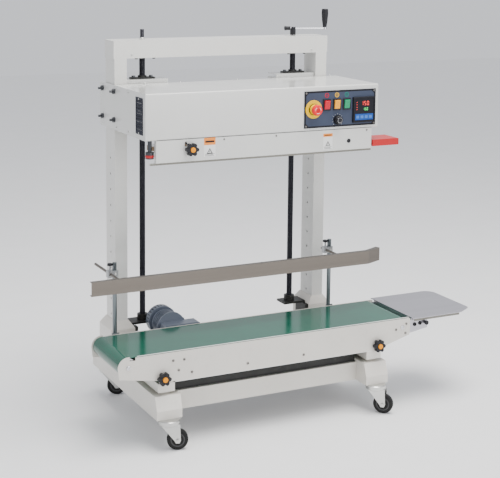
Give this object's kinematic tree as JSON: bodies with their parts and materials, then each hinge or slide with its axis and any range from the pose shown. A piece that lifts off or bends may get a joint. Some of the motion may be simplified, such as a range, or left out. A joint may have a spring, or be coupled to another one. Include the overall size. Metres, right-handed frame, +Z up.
{
  "type": "continuous band sealer",
  "caption": "Floor-standing continuous band sealer on casters, with a crank-raised sealing head over a belt conveyor and a bag guide bar.",
  "frame": {"origin": "middle of the bounding box in plan, at floor level under the casters", "axes": "+X along the belt towards the inlet table, +Y to the back, +Z up; the control panel faces -Y"},
  "size_m": [1.515, 0.7064, 1.497],
  "materials": {
    "painted_frame": "satin",
    "conveyor_paint": "satin",
    "panel_blue": "satin",
    "dark_steel": "satin",
    "bright_steel": "satin",
    "stainless": "brushed",
    "clamp_aluminium": "satin",
    "black_plastic": "matte",
    "sealing_band": "matte",
    "belt_green": "glossy",
    "motor_paint": "satin",
    "red_paint": "gloss",
    "estop_yellow": "gloss",
    "estop_red": "gloss",
    "lamp_yellow": "gloss",
    "lamp_green": "gloss",
    "tyre_rubber": "matte"
  },
  "bodies": {
    "base": {"foot_left": "painted_frame", "foot_right": "painted_frame", "base_crossbeam": "painted_frame", "base_tray": "dark_steel", "column_left": "painted_frame", "column_right": "painted_frame", "top_beam": "painted_frame", "screw_bearings": "dark_steel", "lift_chain": "dark_steel", "caster_plates": "bright_steel"},
    "screw_left": {"lead_screw_left": "bright_steel"},
    "screw_right": {"lead_screw_right": "bright_steel", "crank_arm": "bright_steel"},
    "grip": {"crank_grip": "black_plastic"},
    "head": {"head_cover": "painted_frame", "head_side_plate": "painted_frame", "head_chassis": "painted_frame", "guide_shoes": "black_plastic", "head_fasteners": "bright_steel", "lead_nuts": "dark_steel", "lower_front_cover": "painted_frame", "feed_guide": "red_paint", "sealing_bands": "sealing_band", "seal_blocks": "clamp_aluminium", "head_motor": "motor_paint", "control_panel": "panel_blue", "estop_base": "estop_yellow", "temperature_controller": "black_plastic"},
    "exit_press_roller": {"exit_roller": "bright_steel"},
    "stop_button": {"estop_button": "estop_red"},
    "switch_red": {"rocker_red": "estop_red"},
    "switch_yellow": {"rocker_yellow": "lamp_yellow"},
    "switch_green": {"rocker_green": "lamp_green"},
    "speed_dial": {"speed_knob": "black_plastic"},
    "cover_star_knob": {"cover_knob": "black_plastic"},
    "conveyor": {"conveyor_side_front": "conveyor_paint", "conveyor_side_rear": "conveyor_paint", "conveyor_bed": "conveyor_paint", "conveyor_belt": "belt_green", "side_table": "stainless", "gear_motor": "motor_paint", "guide_posts": "dark_steel"},
    "roller_outlet": {"drive_roller": "bright_steel"},
    "roller_inlet": {"idler_roller": "bright_steel"},
    "star_knob_left": {"clamp_knob_left": "black_plastic"},
    "star_knob_right": {"clamp_knob_right": "black_plastic"},
    "guide_carriage": {"guide_clamps": "clamp_aluminium"},
    "guide": {"guide_bar": "stainless"},
    "band_pulley_drive_front": {"band_wheel_drive_front": "bright_steel"},
    "band_pulley_drive_rear": {"band_wheel_drive_rear": "bright_steel"},
    "band_pulley_idle_front": {"band_wheel_idle_front": "bright_steel"},
    "band_pulley_idle_rear": {"band_wheel_idle_rear": "bright_steel"},
    "fork_front_left": {"caster_fork_front_left": "bright_steel"},
    "wheel_front_left": {"caster_wheel_front_left": "tyre_rubber"},
    "fork_front_right": {"caster_fork_front_right": "bright_steel"},
    "wheel_front_right": {"caster_wheel_front_right": "tyre_rubber"},
    "fork_rear_left": {"caster_fork_rear_left": "bright_steel"},
    "wheel_rear_left": {"caster_wheel_rear_left": "tyre_rubber"},
    "fork_rear_right": {"caster_fork_rear_right": "bright_steel"},
    "wheel_rear_right": {"caster_wheel_rear_right": "tyre_rubber"}
  },
  "joints": [
    {"name": "head_lift", "type": "slide", "parent": "base", "child": "head", "axis": [0, 0, 1], "range_m": [-0.34, 0.055]},
    {"name": "crank_turn", "type": "hinge", "parent": "base", "child": "screw_right", "pos_m": [0.203, 0.20822, 1.421], "axis": [0, 0, 1], "range_deg": [-3965, 24485]},
    {"name": "left_screw_turn", "type": "hinge", "parent": "base", "child": "screw_left", "pos_m": [-0.436, 0.20822, 0.322], "axis": [0, 0, 1], "range_deg": [-3965, 24485]},
    {"name": "grip_spin", "type": "hinge", "parent": "screw_right", "child": "grip", "pos_m": [0.32914, 0.17677, 1.427], "axis": [0, 0, 1], "continuous": true},
    {"name": "band_drive_front_turn", "type": "hinge", "parent": "head", "child": "band_pulley_drive_front", "pos_m": [-0.4845, -0.11528, 1.016], "axis": [0, 0, 1], "continuous": true},
    {"name": "band_drive_rear_turn", "type": "hinge", "parent": "head", "child": "band_pulley_drive_rear", "pos_m": [-0.4845, -0.04828, 1.016], "axis": [0, 0, 1], "continuous": true},
    {"name": "band_idle_front_turn", "type": "hinge", "parent": "head", "child": "band_pulley_idle_front", "pos_m": [0.3135, -0.11528, 1.016], "axis": [0, 0, 1], "continuous": true},
    {"name": "band_idle_rear_turn", "type": "hinge", "parent": "head", "child": "band_pulley_idle_rear", "pos_m": [0.3135, -0.04828, 1.016], "axis": [0, 0, 1], "continuous": true},
    {"name": "exit_roller_turn", "type": "hinge", "parent": "head", "child": "exit_press_roller", "pos_m": [-0.5405, -0.12678, 1], "axis": [0, 0, 1], "continuous": true},
    {"name": "stop_press", "type": "slide", "parent": "head", "child": "stop_button", "axis": [0, 1, 0], "range_m": [0, 0.004], "stiffness_N_per_m": 1500, "springref_m": -0.004},
    {"name": "switch_red_tilt", "type": "hinge", "parent": "head", "child": "switch_red", "pos_m": [0.1515, -0.15728, 1.162], "axis": [1, 0, 0], "range_deg": [-16, 0]},
    {"name": "switch_yellow_tilt", "type": "hinge", "parent": "head", "child": "switch_yellow", "pos_m": [0.1945, -0.15728, 1.162], "axis": [1, 0, 0], "range_deg": [-16, 0]},
    {"name": "switch_green_tilt", "type": "hinge", "parent": "head", "child": "switch_green", "pos_m": [0.2365, -0.15728, 1.162], "axis": [1, 0, 0], "range_deg": [-16, 0]},
    {"name": "speed_turn", "type": "hinge", "parent": "head", "child": "speed_dial", "pos_m": [0.1985, -0.15878, 1.103], "axis": [0, 1, 0], "range_deg": [-135, 135]},
    {"name": "cover_knob_turn", "type": "hinge", "parent": "head", "child": "cover_star_knob", "pos_m": [-0.3981, -0.15628, 1.03], "axis": [0, 1, 0], "range_deg": [-360, 90]},
    {"name": "conveyor_slide", "type": "slide", "parent": "base", "child": "conveyor", "axis": [0, 1, 0], "range_m": [-0.04, 0]},
    {"name": "drive_roller_turn", "type": "hinge", "parent": "conveyor", "child": "roller_outlet", "pos_m": [-0.6805, -0.27928, 0.307], "axis": [0, 1, 0], "continuous": true},
    {"name": "idler_roller_turn", "type": "hinge", "parent": "conveyor", "child": "roller_inlet", "pos_m": [0.4325, -0.27928, 0.307], "axis": [0, 1, 0], "continuous": true},
    {"name": "clamp_knob_left_turn", "type": "hinge", "parent": "conveyor", "child": "star_knob_left", "pos_m": [-0.5535, -0.27928, 0.254], "axis": [0, 1, 0], "range_deg": [-360, 90]},
    {"name": "clamp_knob_right_turn", "type": "hinge", "parent": "conveyor", "child": "star_knob_right", "pos_m": [0.3205, -0.27928, 0.254], "axis": [0, 1, 0], "range_deg": [-360, 90]},
    {"name": "guide_height", "type": "slide", "parent": "conveyor", "child": "guide_carriage", "axis": [0, 0, 1], "range_m": [-0.15, 0.02]},
    {"name": "guide_reach", "type": "slide", "parent": "guide_carriage", "child": "guide", "axis": [0, 1, 0], "range_m": [-0.06, 0.09]},
    {"name": "swivel_front_left", "type": "hinge", "parent": "base", "child": "fork_front_left", "pos_m": [-0.539, -0.29978, 0.1], "axis": [0, 0, 1], "continuous": true},
    {"name": "roll_front_left", "type": "hinge", "parent": "fork_front_left", "child": "wheel_front_left", "pos_m": [-0.51081, -0.31004, 0.0375], "axis": [0.342, 0.9397, 0], "continuous": true},
    {"name": "swivel_front_right", "type": "hinge", "parent": "base", "child": "fork_front_right", "pos_m": [0.306, -0.29978, 0.1], "axis": [0, 0, 1], "continuous": true},
    {"name": "roll_front_right", "type": "hinge", "parent": "fork_front_right", "child": "wheel_front_right", "pos_m": [0.32721, -0.32099, 0.0375], "axis": [0.7071, 0.7071, 0], "continuous": true},
    {"name": "swivel_rear_left", "type": "hinge", "parent": "base", "child": "fork_rear_left", "pos_m": [-0.539, 0.30322, 0.1], "axis": [0, 0, 1], "continuous": true},
    {"name": "roll_rear_left", "type": "hinge", "parent": "fork_rear_left", "child": "wheel_rear_left", "pos_m": [-0.51081, 0.29296, 0.0375], "axis": [0.342, 0.9397, 0], "continuous": true},
    {"name": "swivel_rear_right", "type": "hinge", "parent": "base", "child": "fork_rear_right", "pos_m": [0.306, 0.30322, 0.1], "axis": [0, 0, 1], "continuous": true},
    {"name": "roll_rear_right", "type": "hinge", "parent": "fork_rear_right", "child": "wheel_rear_right", "pos_m": [0.33382, 0.29198, 0.0375], "axis": [0.3746, 0.9272, 0], "continuous": true}
  ],
  "couplings": [
    {"joint": "crank_turn", "follows": "head_lift", "rad_per_m": -1256.6},
    {"joint": "left_screw_turn", "follows": "head_lift", "rad_per_m": -1256.6},
    {"joint": "band_drive_rear_turn", "follows": "band_drive_front_turn", "ratio": -1},
    {"joint": "band_idle_front_turn", "follows": "band_drive_front_turn", "ratio": 1},
    {"joint": "band_idle_rear_turn", "follows": "band_drive_front_turn", "ratio": -1},
    {"joint": "idler_roller_turn", "follows": "drive_roller_turn", "ratio": 1}
  ]
}
